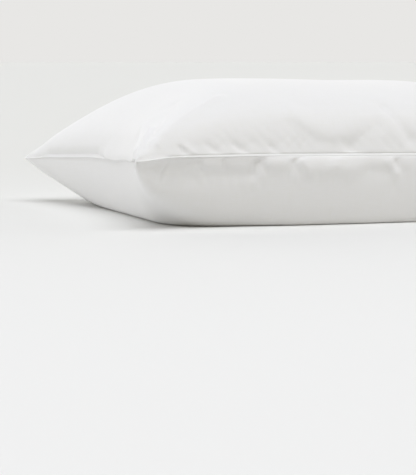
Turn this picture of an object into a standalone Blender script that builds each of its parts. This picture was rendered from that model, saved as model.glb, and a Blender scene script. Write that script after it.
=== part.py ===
"""A plain white pillowcase with its pillow inside, lying on its back.

One sack of cotton: a top and an under panel, sewn along the closed end and both long sides,
and open at the hemmed mouth. The filled case is one solid, as a stuffed thing is. Its mouth is
a real slit between two lips, so the hem hangs free of the fill.

Metres, +Z up. X runs from the closed end at -X to the mouth at +X, and the front seam is at -Y.
The origin is on the surface that the case lies on, under the middle of its box.
"""

import math
from typing import NamedTuple

import bmesh
import bpy
from mathutils import Vector

# The case as it lies. Until the end, x = 0 is at the closed end's corners.
CASE_REACH = 0.712  # to the mouth, along the side seams
FILL_REACH = 0.612  # to the far end of the pillow inside, where the lips meet
CORNER_HALF_WIDTH = 0.240
WAIST_HALF_WIDTH = 0.231  # the long seams, drawn in by the fill
MOUTH_HALF_WIDTH = 0.246
WAIST_START = 0.150  # the long seams are drawn in from here
WAIST_END = 0.420  # and widen again from here
END_DRAW_IN = 0.041  # the closed end's seam, drawn in at its middle
MOUTH_DRAW_IN = 0.026
LOFT = 0.1616  # floor to crown
SEAM_HEIGHT = 0.0830  # floor to the long seams near the closed end
SEAM_FALL = 0.010  # they are this much lower at the mouth, before the droop
UNDER_DEPTH = 0.1500  # how far the fill would sag below the seams with no floor there
FLOOR_BLEND = 0.006  # the cloth turns on to the floor over this height

# How round the fill is. 2 is an ellipse and more is fuller: the fill's weight squares its underside.
END_ROUND_LENGTH = 0.162
END_POWER = 2.0
UNDER_ROUND_LENGTH = 0.340
UNDER_ROUND_POWER = 2.3
TOP_POWER = 2.95
UNDER_POWER = 3.0
FAR_CORNER_POWER = 1.70  # under the far corner the case is nearly empty
FAR_CORNER_START = 0.030  # and from here on it fills out
FAR_CORNER_END = 0.170
FALL_START = 0.400  # where the crown starts down to the lips

# Seam, hem and mouth.
SEAM_RIDGE = 0.0026  # the sewn edge stands this proud
SEAM_HALF_THICKNESS = 0.0010
RIDGE_TAPER = 0.5  # and is this share as thick at its rim
SEAM_TUCK = 0.0006  # the cloth swells this far out over the closed end's seam
SEAM_FLARE = 0.0045  # the long seams stand this far out from the fill beside the closed end
FLARE_LEFT = 0.55  # and this share of it further on
FLARE_HEIGHT = 0.008  # the cloth turns out to them over this height
FLARE_START = 0.100
FLARE_END = 0.240
UNDER_PUFF = 0.0030  # the under panel swells this far out below the long seams
PUFF_HEIGHT = 0.005
PUFF_START = 0.060
PUFF_END = 0.200
LIP_HALF_THICKNESS = 0.0026  # both lips of the mouth with the gap between them
EDGE_BLEND = 0.012
HEM_DEPTH = 0.076
HEM_STEP = 0.0006  # the doubled cloth of the hem stands this proud
HEM_STEP_LENGTH = 0.003
SLIT_HALF_GAP = 0.0008
SLIT_SIDE_ROWS = 1  # rows left closed beside the slit, for the side seams
DROOP_START = 0.470
MOUTH_HEIGHT = 0.016  # the lips droop to this height

# Mesh fineness: the pieces get longer away from the closed end and from the front seam.
COLUMNS = 56
COLUMN_STRETCH = 2.4
ROWS = 34
ROW_STRETCH = 2.2
EVEN_END = 0.040  # the rows are even along the closed end and by here follow the fill
EVEN_START = 0.500  # and are even again at the mouth
CURVE_SAMPLES = 800

COTTON_COLOUR = (0.86, 0.86, 0.85, 1.0)
COTTON_ROUGHNESS = 0.85


class Droop(NamedTuple):
    """A place where the seams hang lower, or are held higher, than along the waist."""

    name: str
    x: float
    y: float
    rise: float
    reach_x: float
    reach_y: float


class Fold(NamedTuple):
    """A ridge, or with a height below zero a valley, that fades towards its second end.

    Its ends are measured along the cloth: run from the closed end and girth from the front seam.
    """

    name: str
    panel: str
    run: float
    girth: float
    to_run: float
    to_girth: float
    width: float
    height: float


DROOPS = (
    Droop("near corner", 0.0, -0.240, -0.0045, 0.030, 0.030),
    Droop("far corner", 0.0, 0.240, -0.0250, 0.115, 0.115),
    Droop("middle of the closed end", 0.0, 0.0, -0.0173, 0.100, 0.165),
    Droop("closed end, held up", 0.0, 0.010, 0.0010, 0.040, 0.040),
    Droop("closed end, held up by the far corner", 0.0, 0.192, 0.0018, 0.040, 0.030),
    Droop("closed end, dip before the middle", 0.0, 0.110, -0.0019, 0.040, 0.050),
    Droop("closed end, dip after the middle", 0.0, -0.050, -0.0019, 0.040, 0.060),
    Droop("closed end, dip beside the near corner", 0.0, -0.155, -0.0060, 0.040, 0.048),
    Droop("wave of the mouth, front", 0.712, -0.120, 0.0080, 0.090, 0.060),
    Droop("wave of the mouth, back", 0.712, 0.070, -0.0060, 0.080, 0.070),
    Droop("back corner of the mouth", 0.712, 0.246, 0.0060, 0.090, 0.060),
)

FOLD_FADE = 0.7  # a fold loses this share of its height by its second end
FOLD_HOLD = 0.12  # folds reach their height where the fill is this full

FOLDS = (
    Fold("crease up from the near corner", "top", 0.013, 0.050, 0.044, 0.150, 0.008, -0.0022),
    Fold("sharp ridge up from the near corner", "top", 0.008, 0.008, 0.042, 0.070, 0.008, 0.0030),
    Fold("valley beside the near corner", "top", 0.024, 0.016, 0.071, 0.140, 0.010, -0.0028),
    Fold("long ridge from the near corner", "top", 0.022, 0.010, 0.125, 0.105, 0.013, 0.0034),
    Fold("bulge over the closed end's seam", "top", 0.012, 0.110, 0.014, 0.200, 0.016, 0.0024),
    Fold("hollow over the closed end's seam", "top", 0.011, 0.430, 0.006, 0.260, 0.010, -0.0024),
    Fold("front pucker by the corner", "top", 0.056, 0.024, 0.060, 0.006, 0.009, -0.0020),
    Fold("front pucker, second", "top", 0.092, 0.018, 0.098, 0.004, 0.008, -0.0016),
    Fold("front pucker, third", "top", 0.126, 0.018, 0.134, 0.004, 0.009, -0.0016),
    Fold("front pucker, fourth", "top", 0.162, 0.016, 0.170, 0.004, 0.009, -0.0015),
    Fold("hollow on the front", "top", 0.200, 0.048, 0.214, 0.022, 0.012, -0.0030),
    Fold("soft ridge beside the hollow", "top", 0.236, 0.026, 0.272, 0.034, 0.014, 0.0030),
    Fold("hollow under the soft ridge", "top", 0.262, 0.014, 0.222, 0.012, 0.009, -0.0022),
    Fold("second hollow on the front", "top", 0.322, 0.070, 0.344, 0.024, 0.013, -0.0030),
    Fold("ridge beside the second hollow", "top", 0.318, 0.034, 0.340, 0.010, 0.012, 0.0028),
    Fold("soft ridge towards the mouth", "top", 0.420, 0.030, 0.520, 0.085, 0.018, 0.0040),
    Fold("hollow towards the mouth", "top", 0.470, 0.026, 0.560, 0.060, 0.017, -0.0036),
    Fold("cross hollow where the fill ends", "top", 0.560, 0.170, 0.545, 0.330, 0.022, -0.0040),
    Fold("ridge where the fill ends", "top", 0.600, 0.230, 0.500, 0.260, 0.020, 0.0038),
    Fold("far corner ridge", "top", 0.060, 0.500, 0.150, 0.450, 0.016, 0.0024),
    Fold("far corner hollow", "top", 0.022, 0.482, 0.060, 0.450, 0.016, -0.0036),
    Fold("dip of the crown", "top", 0.330, 0.120, 0.350, 0.420, 0.050, -0.0018),
    Fold("back hollow", "top", 0.200, 0.530, 0.230, 0.470, 0.020, -0.0036),
    Fold("back ridge", "top", 0.310, 0.540, 0.330, 0.480, 0.022, 0.0036),
    Fold("back hollow towards the mouth", "top", 0.440, 0.530, 0.500, 0.460, 0.022, -0.0040),
    Fold("turn of the closed end into the front", "under", 0.010, 0.034, 0.040, 0.090, 0.011, 0.0026),
    Fold("hollow under the near corner", "under", 0.024, 0.010, 0.052, 0.018, 0.011, -0.0028),
    Fold("long hollow under the front seam", "under", 0.070, 0.024, 0.140, 0.020, 0.010, -0.0024),
    Fold("under pucker by the corner", "under", 0.091, 0.004, 0.098, 0.026, 0.007, -0.0020),
    Fold("under pucker, second", "under", 0.115, 0.004, 0.122, 0.030, 0.007, -0.0018),
    Fold("under pucker, third", "under", 0.160, 0.004, 0.166, 0.030, 0.008, -0.0020),
    Fold("under pucker, fourth", "under", 0.197, 0.004, 0.210, 0.032, 0.009, -0.0026),
    Fold("hollow under the seam, towards the mouth", "under", 0.290, 0.012, 0.310, 0.022, 0.012, -0.0028),
    Fold("ridge beside that hollow", "under", 0.320, 0.005, 0.328, 0.034, 0.010, 0.0022),
    Fold("under ridge towards the mouth", "under", 0.430, 0.020, 0.500, 0.070, 0.018, 0.0034),
    Fold("hollow under the far corner", "under", 0.030, 0.440, 0.080, 0.400, 0.016, -0.0030),
    Fold("back hollow, under", "under", 0.260, 0.520, 0.280, 0.470, 0.020, -0.0030),
)


def smooth_step(low, high, value):
    share = min(1.0, max(0.0, (value - low) / (high - low)))
    return share * share * (3 - 2 * share)


def blend(first, second, share):
    return first + (second - first) * share


def superellipse(share, power):
    return max(0.0, 1 - abs(share) ** power) ** (1 / power)


def fullness_along(x, side=1):
    """The share of the full height at x: a round closed end and a gentle fall to the lips."""
    if side > 0 and x < END_ROUND_LENGTH:
        return superellipse(1 - x / END_ROUND_LENGTH, END_POWER)
    if side < 0 and x < UNDER_ROUND_LENGTH:
        return superellipse(1 - x / UNDER_ROUND_LENGTH, UNDER_ROUND_POWER)
    if x < FALL_START:
        return 1.0
    if x < FILL_REACH:
        return 0.5 + 0.5 * math.cos(math.pi * (x - FALL_START) / (FILL_REACH - FALL_START))
    return 0.0


def fullness(x, across, side):
    power = TOP_POWER if side > 0 else UNDER_POWER
    if side < 0 and across > 0:
        power = blend(FAR_CORNER_POWER, UNDER_POWER, smooth_step(FAR_CORNER_START, FAR_CORNER_END, x))
    return fullness_along(x, side) * superellipse(across, power)


def half_width(x):
    """The long seams: wide at the corners, drawn in at the waist, wide again at the flat mouth."""
    width = blend(CORNER_HALF_WIDTH, WAIST_HALF_WIDTH, smooth_step(0.0, WAIST_START, x))
    return blend(width, MOUTH_HALF_WIDTH, smooth_step(WAIST_END, FILL_REACH, x))


def seam_height(x, y):
    """The height of the surface that the seams lie in, between the two panels."""
    height = SEAM_HEIGHT - SEAM_FALL * x / CASE_REACH
    height = blend(height, MOUTH_HEIGHT, smooth_step(DROOP_START, CASE_REACH, x))
    for droop in DROOPS:
        away = math.hypot((x - droop.x) / droop.reach_x, (y - droop.y) / droop.reach_y)
        height += droop.rise * math.exp(-away * away)
    return height


def plan(x, across, end_out=0.0, side_out=0.0):
    """Where a point is in plan, moved outwards at the closed end and at the long sides."""
    bow = 1 - across * across
    share = x / CASE_REACH
    inward = END_DRAW_IN * bow * (1 - share) ** 3 - MOUTH_DRAW_IN * bow * share**3
    plan_x = x + inward - end_out * max(0.0, 1 - x / END_ROUND_LENGTH) ** 4
    return plan_x, half_width(x) * across + side_out * across * abs(across) ** 3


def place(x, across, side):
    """A point of the fill's skin, with no floor. side is 1 on the top panel and -1 on the under one."""
    full = fullness(x, across, side)
    depth = LOFT - SEAM_HEIGHT if side > 0 else UNDER_DEPTH
    late = smooth_step(FLARE_START, FLARE_END, x)
    flare = SEAM_FLARE * blend(1.0, FLARE_LEFT, late) * (1 - math.exp(-depth * full / FLARE_HEIGHT))
    tuck = SEAM_TUCK * math.sin(math.pi * math.sqrt(full))
    puff = 0.0
    if side < 0:
        puff = UNDER_PUFF * smooth_step(PUFF_START, PUFF_END, x) * (1 - math.exp(-depth * full / PUFF_HEIGHT))
    plan_x, plan_y = plan(x, across, tuck, puff - flare)
    edge = min(x, half_width(x) * (1 - abs(across)))
    skin = blend(SEAM_HALF_THICKNESS, LIP_HALF_THICKNESS, smooth_step(0.0, EDGE_BLEND, edge))
    hem_line = CASE_REACH - HEM_DEPTH
    if edge > 0:
        skin += HEM_STEP * smooth_step(hem_line - HEM_STEP_LENGTH / 2, hem_line + HEM_STEP_LENGTH / 2, x)
    return Vector((plan_x, plan_y, seam_height(x, half_width(x) * across) + side * (skin + depth * full)))


def rest_on_floor(point):
    """The under panel's own sag, turned smoothly on to the floor."""
    near = max(FLOOR_BLEND - abs(point.z), 0.0) / FLOOR_BLEND
    point.z = max(point.z, 0.0) + near * near * FLOOR_BLEND / 4
    return point


def section_point(across):
    """The fill's section at the waist, for the rows to be spread on."""
    power = (TOP_POWER + UNDER_POWER) / 2
    return WAIST_HALF_WIDTH * across, (LOFT - SEAM_HEIGHT) * superellipse(across, power)


def spread(low, high, pieces, stretch):
    """Shares from low to high whose pieces grow evenly, the last `stretch` times the first."""
    weights = [blend(1.0, stretch, k / (pieces - 1)) for k in range(pieces)]
    shares = [low]
    for weight in weights:
        shares.append(shares[-1] + weight * (high - low) / sum(weights))
    return shares


def spread_on(curve, low, high, pieces, stretch):
    """The same, with the pieces measured along a curve of points."""
    samples = [low + (high - low) * k / CURVE_SAMPLES for k in range(CURVE_SAMPLES + 1)]
    lengths = [0.0]
    for start, end in zip(samples, samples[1:]):
        lengths.append(lengths[-1] + math.dist(curve(start), curve(end)))
    found = []
    k = 0
    for target in spread(0.0, lengths[-1], pieces, stretch):
        while k < CURVE_SAMPLES - 1 and lengths[k + 1] < target:
            k += 1
        share = (target - lengths[k]) / (lengths[k + 1] - lengths[k])
        found.append(blend(samples[k], samples[k + 1], min(1.0, share)))
    return found


def column_positions():
    """Places along the case, even on the cloth, with two of them moved to the hem's step."""
    height = LOFT - SEAM_HEIGHT
    places = spread_on(lambda x: (x, height * fullness_along(x)), 0.0, CASE_REACH, COLUMNS, COLUMN_STRETCH)
    hem_line = CASE_REACH - HEM_DEPTH
    after = next(i for i, x in enumerate(places) if x > hem_line)
    places[after - 1] = hem_line - HEM_STEP_LENGTH / 2
    places[after] = hem_line + HEM_STEP_LENGTH / 2
    return places


def across_positions(x, section, even):
    """Shares of the half width at x: even at both ends, and as on the full section between them."""
    share = max(1.0 - smooth_step(0.0, EVEN_END, x), smooth_step(EVEN_START, FILL_REACH, x))
    return [blend(a, b, share) for a, b in zip(section, even)]


def cloth_lengths(points):
    """How far each point is along the cloth: its run and its girth."""
    runs = [[0.0] * len(points[0])]
    for before, column in zip(points, points[1:]):
        runs.append([run + (b - a).length for run, a, b in zip(runs[-1], before, column)])
    girths = []
    for column in points:
        girth = [0.0]
        for a, b in zip(column, column[1:]):
            girth.append(girth[-1] + (b - a).length)
        girths.append(girth)
    return runs, girths


def fold_height(panel, run, girth):
    height = 0.0
    for fold in FOLDS:
        if fold.panel != panel:
            continue
        along = (fold.to_run - fold.run, fold.to_girth - fold.girth)
        reach = (run - fold.run) * along[0] + (girth - fold.girth) * along[1]
        share = min(1.0, max(0.0, reach / (along[0] ** 2 + along[1] ** 2)))
        away = math.hypot(run - fold.run - share * along[0], girth - fold.girth - share * along[1])
        height += fold.height * (1 - FOLD_FADE * share) * math.exp(-((away / fold.width) ** 2))
    return height


def folded(points, columns, shares, side):
    """The panel's points with the folds raised or sunk square to the cloth."""
    panel = "top" if side > 0 else "under"
    runs, girths = cloth_lengths(points)
    result = [list(column) for column in points]
    for i in range(1, len(points) - 1):
        for j in range(1, len(points[i]) - 1):
            along = points[i + 1][j] - points[i - 1][j]
            across = points[i][j + 1] - points[i][j - 1]
            outward = along.cross(across).normalized() * side
            hold = smooth_step(0.0, FOLD_HOLD, fullness(columns[i], shares[i][j], side))
            height = hold * fold_height(panel, runs[i][j], girths[i][j])
            result[i][j] = points[i][j] + outward * height
    return result


def panel_points(columns, shares, side):
    points = [[place(x, across, side) for across in row] for x, row in zip(columns, shares)]
    points = folded(points, columns, shares, side)
    if side < 0:
        points = [[rest_on_floor(point) for point in column] for column in points]
    return points


def slit_points(columns, shares, side):
    """One lip's inner face: the mouth's slit follows the surface between the two panels."""
    points = []
    for x, row in zip(columns, shares):
        inner = row[SLIT_SIDE_ROWS : len(row) - SLIT_SIDE_ROWS]
        column = []
        for across in inner:
            middle = seam_height(x, half_width(x) * across)
            column.append(Vector((*plan(x, across), middle + side * SLIT_HALF_GAP)))
        points.append(column)
    return points


def ridge_points(columns, shares, side):
    """The outer edge of the sewn ridge, from the mouth round the closed end and back."""
    last = len(shares[0]) - 1
    route = [(x, -1.0) for x in reversed(columns)]
    route += [(columns[0], shares[0][j]) for j in range(1, last)]
    route += [(x, 1.0) for x in columns]
    flat = [Vector(plan(x, across)) for x, across in route]
    points = []
    for k, (x, across) in enumerate(route):
        along = flat[min(k + 1, len(flat) - 1)] - flat[max(k - 1, 0)]
        out = Vector((-along.y, along.x)).normalized() * SEAM_RIDGE
        middle = seam_height(x, half_width(x) * across)
        points.append(Vector((*(flat[k] + out), middle + side * SEAM_HALF_THICKNESS * RIDGE_TAPER)))
    return points


def add_grid(bm, points):
    grid = [[bm.verts.new(point) for point in column] for column in points]
    for before, column in zip(grid, grid[1:]):
        for j in range(len(column) - 1):
            bm.faces.new((before[j], column[j], column[j + 1], before[j + 1]))
    return grid


def sew(bm, first, second):
    for k in range(len(first) - 1):
        bm.faces.new((first[k], first[k + 1], second[k + 1], second[k]))


def sewn_edge(grid):
    """A panel's edge from the mouth's front corner, round the closed end, to the back corner."""
    front = [column[0] for column in reversed(grid)]
    back = [column[-1] for column in grid]
    return front + grid[0][1:-1] + back


def close_mouth(bm, top, under, upper_slit, lower_slit):
    """The lips' ends, and the walls of the slit between them."""
    margin = SLIT_SIDE_ROWS
    last = len(top[-1]) - 1
    sew(bm, top[-1][margin : last - margin + 1], upper_slit[-1])
    sew(bm, under[-1][margin : last - margin + 1], lower_slit[-1])
    sew(bm, upper_slit[0], lower_slit[0])
    for edge in (0, -1):
        sew(bm, [column[edge] for column in upper_slit], [column[edge] for column in lower_slit])
    for rows in (range(margin + 1), range(last, last - margin - 1, -1)):
        slit_edge = 0 if rows[0] == 0 else -1
        outline = [top[-1][j] for j in rows]
        outline += [upper_slit[-1][slit_edge], lower_slit[-1][slit_edge]]
        outline += [under[-1][j] for j in reversed(rows)]
        bm.faces.new(outline)


def build_case(bm):
    columns = column_positions()
    section = spread_on(section_point, -1.0, 1.0, ROWS, ROW_STRETCH)
    even = spread(-1.0, 1.0, ROWS, ROW_STRETCH)
    shares = [across_positions(x, section, even) for x in columns]
    top = add_grid(bm, panel_points(columns, shares, 1))
    under = add_grid(bm, panel_points(columns, shares, -1))
    high = [bm.verts.new(point) for point in ridge_points(columns, shares, 1)]
    low = [bm.verts.new(point) for point in ridge_points(columns, shares, -1)]
    sew(bm, sewn_edge(top), high)
    sew(bm, high, low)
    sew(bm, low, sewn_edge(under))
    for end in (0, -1):
        bm.faces.new((sewn_edge(top)[end], high[end], low[end], sewn_edge(under)[end]))
    first = next(i for i, x in enumerate(columns) if x > FILL_REACH)
    upper_slit = add_grid(bm, slit_points(columns[first:], shares[first:], 1))
    lower_slit = add_grid(bm, slit_points(columns[first:], shares[first:], -1))
    close_mouth(bm, top, under, upper_slit, lower_slit)
    bmesh.ops.recalc_face_normals(bm, faces=bm.faces)


def centre(mesh):
    """Moves the origin to the middle of the box's underside."""
    across = [[vertex.co[axis] for vertex in mesh.vertices] for axis in range(3)]
    middle_x, middle_y = ((min(values) + max(values)) / 2 for values in across[:2])
    offset = Vector((middle_x, middle_y, min(across[2])))
    for vertex in mesh.vertices:
        vertex.co -= offset


def cotton():
    material = bpy.data.materials.new("cotton")
    material.use_nodes = True
    shader = material.node_tree.nodes["Principled BSDF"]
    shader.inputs["Base Color"].default_value = COTTON_COLOUR
    shader.inputs["Roughness"].default_value = COTTON_ROUGHNESS
    shader.inputs["Metallic"].default_value = 0.0
    return material


def main():
    for obj in list(bpy.data.objects):
        bpy.data.objects.remove(obj)
    bm = bmesh.new()
    build_case(bm)
    mesh = bpy.data.meshes.new("pillowcase")
    bm.to_mesh(mesh)
    bm.free()
    centre(mesh)
    mesh.materials.append(cotton())
    mesh.shade_smooth()
    obj = bpy.data.objects.new("pillowcase", mesh)
    bpy.context.scene.collection.objects.link(obj)


if __name__ == "__main__":
    main()
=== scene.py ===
"""Dresses the filled pillowcase: its sewn cotton, the hem's stitching and a pale studio.

The case lies on its back as it does in the CAD model, in metres and +Z up. X runs from the closed
end to the mouth, and the front long seam is at -Y.
"""

import math
from typing import NamedTuple

import bpy
import numpy as np
from bpy.props import FloatProperty, FloatVectorProperty, PointerProperty
from bpy.types import Operator, Panel, PropertyGroup
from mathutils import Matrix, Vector


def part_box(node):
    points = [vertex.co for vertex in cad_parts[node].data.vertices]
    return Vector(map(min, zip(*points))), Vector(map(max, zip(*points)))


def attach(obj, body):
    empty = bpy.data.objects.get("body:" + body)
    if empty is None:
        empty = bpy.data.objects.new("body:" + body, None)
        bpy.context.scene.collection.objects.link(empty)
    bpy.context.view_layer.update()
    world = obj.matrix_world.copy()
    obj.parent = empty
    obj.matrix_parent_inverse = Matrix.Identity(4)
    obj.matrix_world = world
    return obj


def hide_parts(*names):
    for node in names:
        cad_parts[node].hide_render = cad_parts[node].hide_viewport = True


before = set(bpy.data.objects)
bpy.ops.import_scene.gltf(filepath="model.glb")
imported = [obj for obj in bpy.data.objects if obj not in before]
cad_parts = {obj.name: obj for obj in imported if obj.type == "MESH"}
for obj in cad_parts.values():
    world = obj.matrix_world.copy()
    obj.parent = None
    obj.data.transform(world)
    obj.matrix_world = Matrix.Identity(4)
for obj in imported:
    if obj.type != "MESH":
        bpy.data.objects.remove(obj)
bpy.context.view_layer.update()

bl_info = {
    "name": "Filled pillowcase",
    "version": (1, 0, 0),
    "blender": (4, 5, 0),
    "location": "3D View > Sidebar > Pillowcase",
    "description": "Sews a filled cotton pillowcase and sets it in a pale studio",
    "category": "Object",
}

NODE = "pillowcase"
BODY = "root"
CLOTH = "pillowcase_cloth"
TOP = 1  # the side of the seams that a panel lies on
UNDER = -1
TINY = 1e-9

# Lengths are in metres, and places along the case are measured from the closed end's corners.

# The plan: the long seams are drawn in up to the waist's start and widen again from its end. The
# closed end and the mouth curve in between their corners.
WAIST_START = 0.150
WAIST_END = 0.420
END_DRAW_IN = 0.041
MOUTH_DRAW_IN = 0.026
CURVE_FADE = 3  # how fast these curves die out along the case, as a power
END_FADE = 4  # and how fast what swells out over the closed end does
SIDE_FADE = 3  # and what swells out over the long seams, towards the middle

# The seams sink evenly along the case, and droop past the fill.
SEAM_FALL = 0.010
DROOP_START = 0.470

# The fill: how far it takes to round up from the closed end, where it starts to fall towards the
# mouth, and how square its cross-sections are. It doesn't reach into the far corner.
END_ROUND_LENGTH = 0.162
END_POWER = 2.0
UNDER_ROUND_LENGTH = 0.340
UNDER_ROUND_POWER = 2.3
FALL_START = 0.400
TOP_POWER = 2.95
UNDER_POWER = 3.0
FAR_CORNER_POWER = 1.70
FAR_CORNER_START = 0.030
FAR_CORNER_END = 0.170
UNDER_DEPTH = 0.1500  # of the under panel below its seams, before the floor flattens it
FLOOR_BLEND = 0.006
FLOOR_TOUCH = FLOOR_BLEND / 8

# Half the thickness of the empty case past the fill, and how far from the seams it is reached.
LIP_HALF_THICKNESS = 0.0026
EDGE_BLEND = 0.012

# Beside the seams both panels swell out: over what height above or below the seam each swelling
# comes out, and from where to where along the case it starts, or fades to what is left of it.
LIP_HEIGHT = 0.0009
UNDER_LIP = 0.0026
UNDER_LIP_HEIGHT = 0.0007
PUFF_HEIGHT = 0.0060
PUFF_START = 0.110
PUFF_END = 0.210
FLARE_HEIGHT = 0.008
FLARE_START = 0.100
FLARE_END = 0.240
FLARE_LEFT = 0.75

# The sewn edge: its profile, as (share out, share of its thickness), and how far it hangs down.
RIDGE_PROFILE = ((0.45, 0.90), (0.80, 0.72), (1.0, 0.40))
RIDGE_HANG = 0.0015
HANG_START = 0.025
HANG_END = 0.100

# Where the top panel bulges over the closed end's seam, the sewn edge is turned in under it, and
# all along the closed end it was pressed flat.
COVERED_MIDDLE = -0.135
COVERED_REACH = 0.115
COVERED_POWER = 4  # how sharply it ends
COVERED_SHARE = 0.85
PRESSED_SHARE = 0.58
PRESSED_THICKNESS = 0.55
PRESSED_END = 0.300

# The hem's step where its layers end, and the slit between the lips.
HEM_STEP = 0.0006
HEM_STEP_LENGTH = 0.003
SLIT_START = 0.004  # past the fill
SLIT_MARGIN = 0.007  # left closed beside the slit, for the side seams

# The folds: how round a crest is, in how many straight pieces a bowed one is drawn, and the share
# of the fill's full height where they have grown to their own height, from nothing at the seams.
FOLD_POINT = 1.8
BOWED_STEPS = 8
FOLD_HOLD = 0.04

# Spacing of the cloth's points, measured along the cloth: (from here on, this far apart).
FINE_COLUMNS = ((0.0, 0.0012), (0.030, 0.0019), (0.400, 0.0022), (0.480, 0.0042), (0.780, 0.0036))
FINE_ROWS = (
    (0.0, 0.0006),
    (0.004, 0.0011),
    (0.030, 0.0016),
    (0.080, 0.0042),
    (0.300, 0.0066),
    (0.540, 0.0030),
)
EVEN_END = 0.040  # up to here, and past the even start, the rows lie evenly across the case
EVEN_START = 0.500
CURVE_SAMPLES = 2000

# The drape: the cloth is cut larger than the fill by this share, and held to it away from its seams.
DRAPE_SPARE = 0.006
DRAPE_STEP = 0.0065
DRAPE_HELD = 0.95
DRAPE_LOOSE_TOP = 0.72  # the top panel is smoothed by hand, so it is held tighter beside its seams
DRAPE_LOOSE_UNDER = 0.25
DRAPE_REACH = 0.050
DRAPE_START = 0.030  # beside the closed end the cloth is held all over
DRAPE_FULL = 0.110
DRAPE_LIPS = 0.030  # before the fill's end it is held all over again
DRAPE_FRAMES = 20
DRAPE_CAP = 0.004
DRAPE_CLOTH = {
    "quality": 6,
    "mass": 0.3,
    "tension_stiffness": 15,
    "compression_stiffness": 15,
    "shear_stiffness": 5,
    "bending_stiffness": 1.5,
    "air_damping": 2,
    "vertex_group_mass": "hold",
    "pin_stiffness": 1.0,
    "shrink_min": -DRAPE_SPARE,
    "use_pressure": True,
    "uniform_pressure_force": 0.5,
}
SMOOTH_ANGLE = 75

# The cloth's pattern: how far each layer of it stands up, and how the yarn varies.
WEAVE_DEPTH = 0.00003
SLUB_DEPTH = 0.00001
CRUMPLE_DEPTH = 0.00025
SLUB_LENGTH = 14  # times its width
SLUB_THIN = 0.75
SLUB_THICK = 1.1
SLUB_DETAIL = 1.0
CRUMPLE_DETAIL = 3.0
CRUMPLE_ROUGHNESS = 0.45

# The hem's stitching.
STITCH_SIZE = (0.0024, 0.0006, 0.0004)
STITCH_SEGMENTS = 8
STITCH_RINGS = 6
STITCH_INSET = 0.0045  # from the hem's edge towards the mouth
STITCH_MARGIN = 0.004  # left free beside the side seams
STITCH_RISE = 0.0001
STITCH_LINE_POINTS = 160
PLY_SCALE = 900
PLY_DEPTH = 0.00005

# How each finish takes the light.
COTTON_FINISH = {
    "Roughness": 0.82,
    "Sheen Weight": 0.2,
    "Sheen Roughness": 0.4,
    "Specular IOR Level": 0.25,
}
THREAD_FINISH = {"Roughness": 0.6, "Sheen Weight": 0.3}
FLOOR_FINISH = {"Roughness": 1.0, "Specular IOR Level": 0.0}

# Settings that several nodes share.
COLOURS = {"data_type": "RGBA"}
MULTIPLY = {"operation": "MULTIPLY"}
SMOOTH = {"interpolation_type": "SMOOTHSTEP"}

# The studio. The backdrop's light is told by its direction: how far back and how high it comes from.
FRONT_END = -0.5
BACKDROP_START = 0.3
BACKDROP_TOP = 0.12
CEILING_START = 0.35
FLOOR_GAP = 0.0002
FLOOR_SIDES = 128
LAMP_DISTANCE = 3.0
CAMERA_PLACE = (-0.98700, -2.24466, 0.19165)
CAMERA_YAW = 19.6
CAMERA_PITCH = 5.369
CAMERA_SENSOR = 36.0
CAMERA_CLIP_END = 200.0


class Droop(NamedTuple):
    """A place where the seams hang lower, or are held higher, than along the waist."""

    name: str
    x: float
    y: float
    rise: float
    reach_x: float
    reach_y: float


class Fold(NamedTuple):
    """A ridge, or with a height below zero a valley, from its first end to its second.

    Its ends are measured along the cloth: run from the closed end and girth from the front seam.
    left is the share of its height that is left at the second end, and bow bends it sideways.
    A fold with a sag also hangs down by that share of its height.
    """

    name: str
    side: int
    run: float
    girth: float
    to_run: float
    to_girth: float
    width: float
    to_width: float
    height: float
    left: float
    bow: float = 0.0
    sag: float = 0.0


class Lamp(NamedTuple):
    """Soft light from one side, in degrees. Azimuth 0 is in front of the case, -90 at its closed end."""

    name: str
    azimuth: float
    height: float
    spread: float
    strength: float
    tint: str


DROOPS = (
    Droop("near corner", 0.0, -0.240, -0.0045, 0.030, 0.030),
    Droop("far corner", 0.0, 0.240, -0.0250, 0.115, 0.115),
    Droop("middle of the closed end", 0.0, 0.0, -0.0173, 0.100, 0.165),
    Droop("closed end, held up", 0.0, 0.010, 0.0010, 0.040, 0.040),
    Droop("closed end, held up by the far corner", 0.0, 0.192, 0.0018, 0.040, 0.030),
    Droop("closed end, dip before the middle", 0.0, 0.110, -0.0019, 0.040, 0.050),
    Droop("closed end, dip after the middle", 0.0, -0.050, -0.0019, 0.040, 0.060),
    Droop("closed end, dip beside the near corner", 0.0, -0.155, -0.0060, 0.040, 0.048),
    Droop("wave of the mouth, front", 0.712, -0.120, 0.0080, 0.090, 0.060),
    Droop("wave of the mouth, back", 0.712, 0.070, -0.0060, 0.080, 0.070),
    Droop("back corner of the mouth", 0.712, 0.246, 0.0060, 0.090, 0.060),
)

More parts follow.
